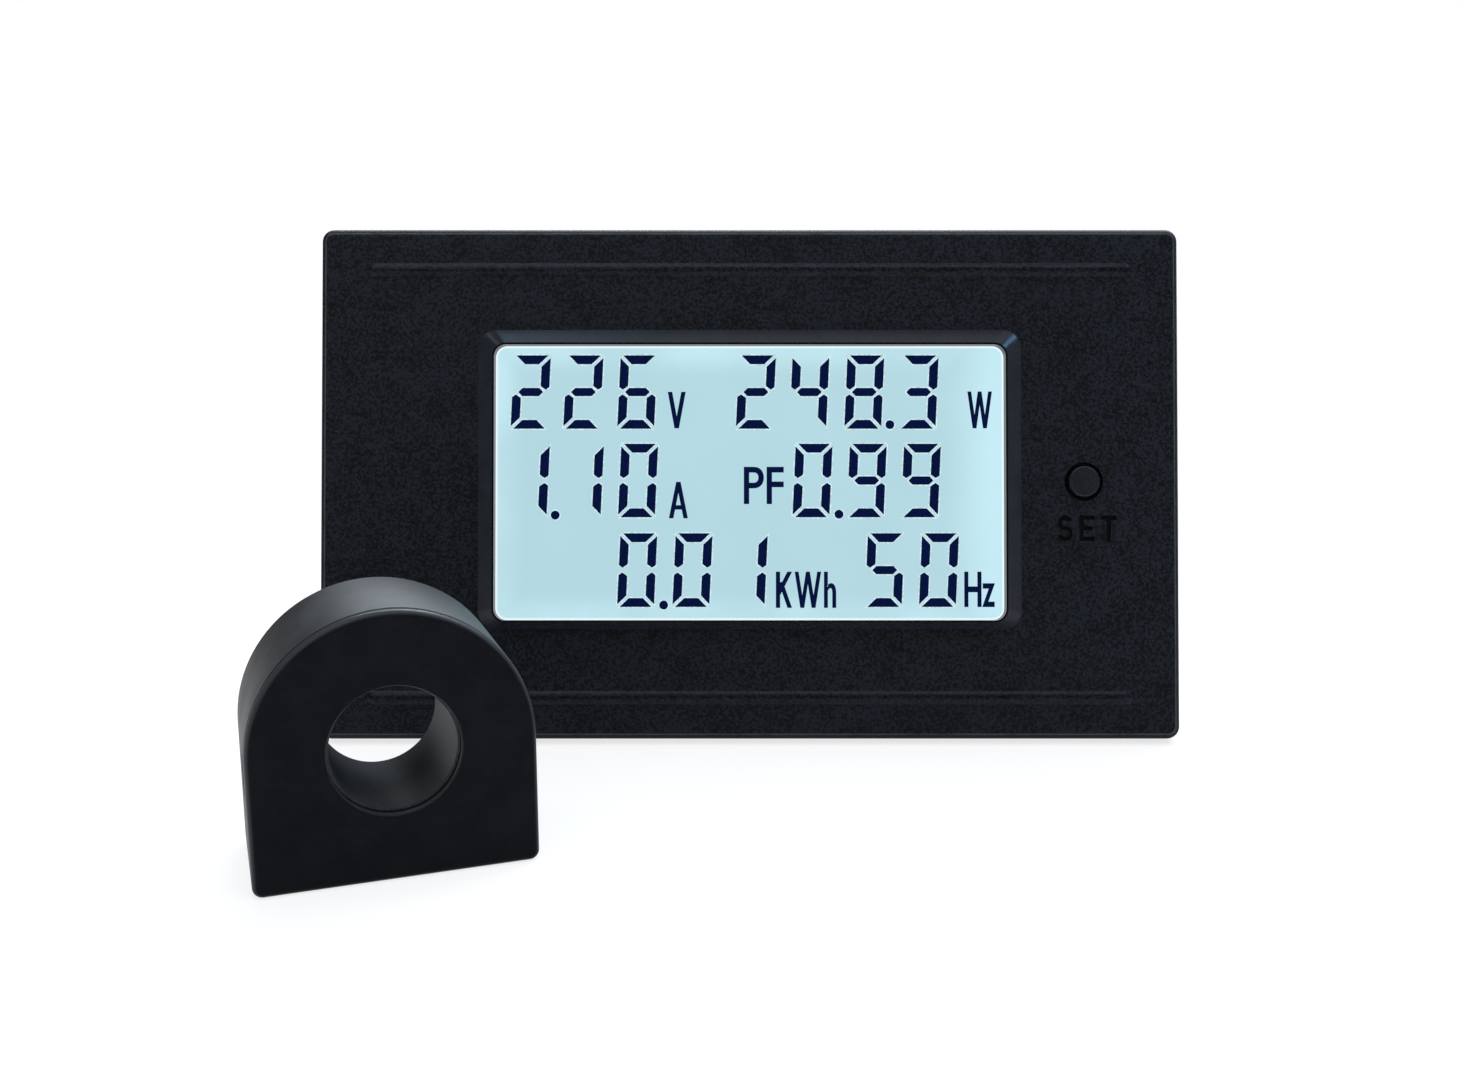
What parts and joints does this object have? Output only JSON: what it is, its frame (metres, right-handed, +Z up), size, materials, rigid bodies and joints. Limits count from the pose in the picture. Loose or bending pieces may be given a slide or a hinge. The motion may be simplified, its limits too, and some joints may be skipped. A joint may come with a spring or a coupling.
{
  "type": "digital power meter",
  "caption": "Panel power meter with a lit display, set button, side latches and rear screw terminals, and its current sensor ring standing in front.",
  "frame": {"origin": "middle of the bounding box's bottom, on the table that the meter and the sensor stand on", "axes": "+X to the viewer's right along the meter's face, +Y away from the viewer, +Z up"},
  "size_m": [0.0846, 0.0682, 0.0496],
  "materials": {
    "bezel_plastic": "fine texture, blue-black",
    "case_plastic": "fine texture, black",
    "latch_plastic": "smooth, black",
    "button_plastic": "smooth, black",
    "sensor_plastic": "satin, black",
    "display_glass": "clear",
    "polarizer_film": "clear film",
    "rear_film": "clear film",
    "diffuser_film": "white film",
    "guide_acrylic": "clear",
    "reflector_film": "white film",
    "tray_plastic": "white",
    "lamp_resin": "yellow resin",
    "tinned_metal": "tinned",
    "board_laminate": "green solder mask",
    "screw_steel": "plated",
    "chip_resin": "black resin",
    "crystal_can": "nickel",
    "header_plastic": "black",
    "gold_pins": "gold plated",
    "film_box": "yellow",
    "can_sleeve": "dark blue sleeve",
    "disc_resin": "blue resin",
    "resistor_coat": "pale blue coat",
    "block_plastic": "green",
    "contact_brass": "tinned brass",
    "clamp_steel": "yellow zinc",
    "core_steel": "wound strip",
    "coil_copper": "enamelled copper",
    "potting_resin": "black resin",
    "grommet_rubber": "black"
  },
  "bodies": {
    "meter": {"front_bezel": "bezel_plastic", "rear_case": "case_plastic", "switch_body": "chip_resin", "switch_legs": "tinned_metal", "front_polarizer": "polarizer_film", "front_glass": "display_glass", "rear_glass": "display_glass", "rear_polarizer": "rear_film", "diffuser_sheet": "diffuser_film", "light_guide": "guide_acrylic", "reflector_sheet": "reflector_film", "backlight_tray": "tray_plastic", "backlight_lamps": "lamp_resin", "display_pins": "tinned_metal", "display_board": "board_laminate", "display_board_screws": "screw_steel", "microcontroller": "chip_resin", "metering_chip": "chip_resin", "memory_chip": "chip_resin", "crystal": "crystal_can", "board_header": "header_plastic", "header_pins": "gold_pins", "power_board": "board_laminate", "power_board_screws": "screw_steel", "film_capacitor": "film_box", "filter_capacitor": "can_sleeve", "surge_disc": "disc_resin", "fuse_resistor": "resistor_coat", "burden_resistors": "resistor_coat", "bridge_rectifier": "chip_resin", "voltage_regulator": "chip_resin", "terminal_block": "block_plastic", "terminal_contacts": "contact_brass"},
    "set_button": {"set_button": "button_plastic", "switch_plunger": "chip_resin"},
    "latch_left": {"side_latch_left": "latch_plastic"},
    "latch_right": {"side_latch_right": "latch_plastic"},
    "clamp_1": {"clamp_plate_1": "clamp_steel"},
    "screw_1": {"terminal_screw_1": "screw_steel"},
    "clamp_2": {"clamp_plate_2": "clamp_steel"},
    "screw_2": {"terminal_screw_2": "screw_steel"},
    "clamp_3": {"clamp_plate_3": "clamp_steel"},
    "screw_3": {"terminal_screw_3": "screw_steel"},
    "clamp_4": {"clamp_plate_4": "clamp_steel"},
    "screw_4": {"terminal_screw_4": "screw_steel"},
    "sensor": {"sensor_cover": "sensor_plastic", "sensor_shell": "sensor_plastic", "sensor_sleeve": "sensor_plastic", "sensor_core": "core_steel", "sensor_winding": "coil_copper", "sensor_potting": "potting_resin", "lead_grommet": "grommet_rubber"}
  },
  "joints": [
    {"name": "set_button_press", "type": "slide", "parent": "meter", "child": "set_button", "axis": [0, 0.9763, -0.2166], "range_m": [0, 0.0004], "stiffness_N_per_m": 2000},
    {"name": "latch_left_flex", "type": "hinge", "parent": "meter", "child": "latch_left", "pos_m": [-0.0367, 0.02585, 0.02078], "axis": [0, 0.2166, 0.9763], "range_deg": [0, 12], "stiffness_Nm_per_rad": 0.5},
    {"name": "latch_right_flex", "type": "hinge", "parent": "meter", "child": "latch_right", "pos_m": [0.0367, 0.02585, 0.02078], "axis": [0, -0.2166, -0.9763], "range_deg": [0, 12], "stiffness_Nm_per_rad": 0.5},
    {"name": "clamp_1_slide", "type": "slide", "parent": "meter", "child": "clamp_1", "axis": [0, 0.9763, -0.2166], "range_m": [0, 0.0025]},
    {"name": "screw_1_turn", "type": "hinge", "parent": "clamp_1", "child": "screw_1", "pos_m": [-0.01143, 0.02157, 0.01047], "axis": [0, 0.9763, -0.2166], "range_deg": [0, 1801]},
    {"name": "clamp_2_slide", "type": "slide", "parent": "meter", "child": "clamp_2", "axis": [0, 0.9763, -0.2166], "range_m": [0, 0.0025]},
    {"name": "screw_2_turn", "type": "hinge", "parent": "clamp_2", "child": "screw_2", "pos_m": [-0.00381, 0.02157, 0.01047], "axis": [0, 0.9763, -0.2166], "range_deg": [0, 1801]},
    {"name": "clamp_3_slide", "type": "slide", "parent": "meter", "child": "clamp_3", "axis": [0, 0.9763, -0.2166], "range_m": [0, 0.0025]},
    {"name": "screw_3_turn", "type": "hinge", "parent": "clamp_3", "child": "screw_3", "pos_m": [0.00381, 0.02157, 0.01047], "axis": [0, 0.9763, -0.2166], "range_deg": [0, 1801]},
    {"name": "clamp_4_slide", "type": "slide", "parent": "meter", "child": "clamp_4", "axis": [0, 0.9763, -0.2166], "range_m": [0, 0.0025]},
    {"name": "screw_4_turn", "type": "hinge", "parent": "clamp_4", "child": "screw_4", "pos_m": [0.01143, 0.02157, 0.01047], "axis": [0, 0.9763, -0.2166], "range_deg": [0, 1801]},
    {"name": "sensor_lift", "type": "slide", "parent": "meter", "child": "sensor", "axis": [0, 0, 1], "range_m": [0, 0.06]}
  ],
  "couplings": [
    {"joint": "screw_1_turn", "follows": "clamp_1_slide", "rad_per_m": 12566},
    {"joint": "screw_2_turn", "follows": "clamp_2_slide", "rad_per_m": 12566},
    {"joint": "screw_3_turn", "follows": "clamp_3_slide", "rad_per_m": 12566},
    {"joint": "screw_4_turn", "follows": "clamp_4_slide", "rad_per_m": 12566}
  ]
}
